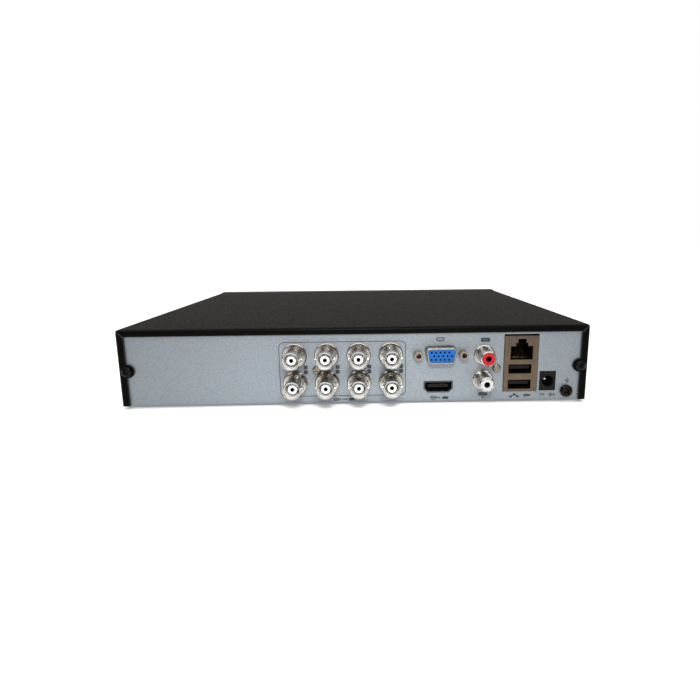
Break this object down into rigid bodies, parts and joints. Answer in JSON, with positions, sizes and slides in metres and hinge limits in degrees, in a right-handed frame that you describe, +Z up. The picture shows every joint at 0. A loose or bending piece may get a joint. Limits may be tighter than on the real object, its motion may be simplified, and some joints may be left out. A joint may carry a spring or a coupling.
{
  "type": "digital video recorder",
  "caption": "Flat desktop video recorder seen from its connector side: dark steel cover, silver panel with bayonet video, sound, display, network and power sockets, disk inside.",
  "frame": {"origin": "centre of the bounding box's footprint, on the surface the feet stand on", "axes": "+Z up; the connector panel faces -Y; +X to the right when facing that panel"},
  "size_m": [0.26, 0.239, 0.045],
  "materials": {
    "cover_paint": "fine black-brown powder coat",
    "panel_paint": "satin silver paint",
    "bezel_plastic": "gloss black moulding",
    "smoked_window": "dark smoked plastic",
    "clear_plastic": "clear light guide",
    "black_rubber": "matt rubber",
    "black_steel": "black zinc",
    "bright_steel": "zinc plated",
    "plain_brass": "brass",
    "green_board": "green solder mask",
    "black_plastic": "black moulding",
    "bare_aluminium": "bare aluminium",
    "nickel": "bright nickel plate",
    "white_plastic": "white moulding",
    "red_plastic": "red moulding",
    "blue_plastic": "blue moulding",
    "warm_nickel": "tinned sheet, warm tint",
    "mirror_disk": "polished",
    "cable_red": "red jacket",
    "cable_black": "black jacket",
    "cable_grey": "grey jacket"
  },
  "bodies": {
    "recorder": {"base_chassis": "panel_paint", "bnc_contacts": "plain_brass", "bnc_housing": "black_plastic", "bnc_insulators": "white_plastic", "bnc_shell_1": "nickel", "bnc_shell_2": "nickel", "bnc_shell_3": "nickel", "bnc_shell_4": "nickel", "bnc_shell_5": "nickel", "bnc_shell_6": "nickel", "bnc_shell_7": "nickel", "bnc_shell_8": "nickel", "board_chips": "black_plastic", "board_screws": "bright_steel", "board_standoffs": "plain_brass", "buzzer": "black_plastic", "cable_plugs": "black_plastic", "capacitors": "bare_aluminium", "cell_holder": "black_plastic", "coin_cell": "bright_steel", "connector_screws": "bright_steel", "data_cable": "cable_red", "digital_insert": "black_plastic", "digital_shell": "nickel", "disk_base": "bare_aluminium", "disk_board": "green_board", "disk_lid": "bright_steel", "disk_screws": "bright_steel", "foot_1": "black_rubber", "foot_2": "black_rubber", "foot_3": "black_rubber", "foot_4": "black_rubber", "front_bezel": "bezel_plastic", "heat_sink": "bare_aluminium", "infrared_window": "smoked_window", "lamp_board": "green_board", "lamp_cable": "cable_grey", "lan_usb_cage": "warm_nickel", "light_guides": "clear_plastic", "main_board": "green_board", "power_body": "black_plastic", "power_pin": "bright_steel", "rca_core_lower": "white_plastic", "rca_core_upper": "red_plastic", "rca_housing": "black_plastic", "rca_shell_lower": "nickel", "rca_shell_upper": "nickel", "socket_insert": "black_plastic", "supply_cable": "cable_black", "usb_tongues": "black_plastic", "vga_insert": "blue_plastic", "vga_jackscrews": "bright_steel", "vga_shell": "bright_steel"},
    "cover": {"top_cover": "cover_paint"},
    "left_screw": {"cover_screw_left": "black_steel"},
    "right_screw": {"cover_screw_right": "black_steel"},
    "earth_screw": {"ground_screw": "black_steel"},
    "spindle": {"disk_hub": "mirror_disk", "disk_platters": "mirror_disk"},
    "arm": {"head_arm": "bare_aluminium"}
  },
  "joints": [
    {"name": "cover_slide", "type": "slide", "parent": "recorder", "child": "cover", "axis": [0, -1, 0], "range_m": [0, 0.215]},
    {"name": "left_screw_out", "type": "slide", "parent": "cover", "child": "left_screw", "axis": [0, -1, 0], "range_m": [0, 0.008]},
    {"name": "right_screw_out", "type": "slide", "parent": "cover", "child": "right_screw", "axis": [0, -1, 0], "range_m": [0, 0.008]},
    {"name": "earth_screw_out", "type": "slide", "parent": "recorder", "child": "earth_screw", "axis": [0, -1, 0], "range_m": [0, 0.004]},
    {"name": "spindle_spin", "type": "hinge", "parent": "recorder", "child": "spindle", "pos_m": [-0.0732, -0.014, 0.018], "axis": [0, 0, 1], "continuous": true},
    {"name": "arm_swing", "type": "hinge", "parent": "recorder", "child": "arm", "pos_m": [-0.047, 0.041, 0.018], "axis": [0, 0, 1], "range_deg": [0, 37]}
  ]
}
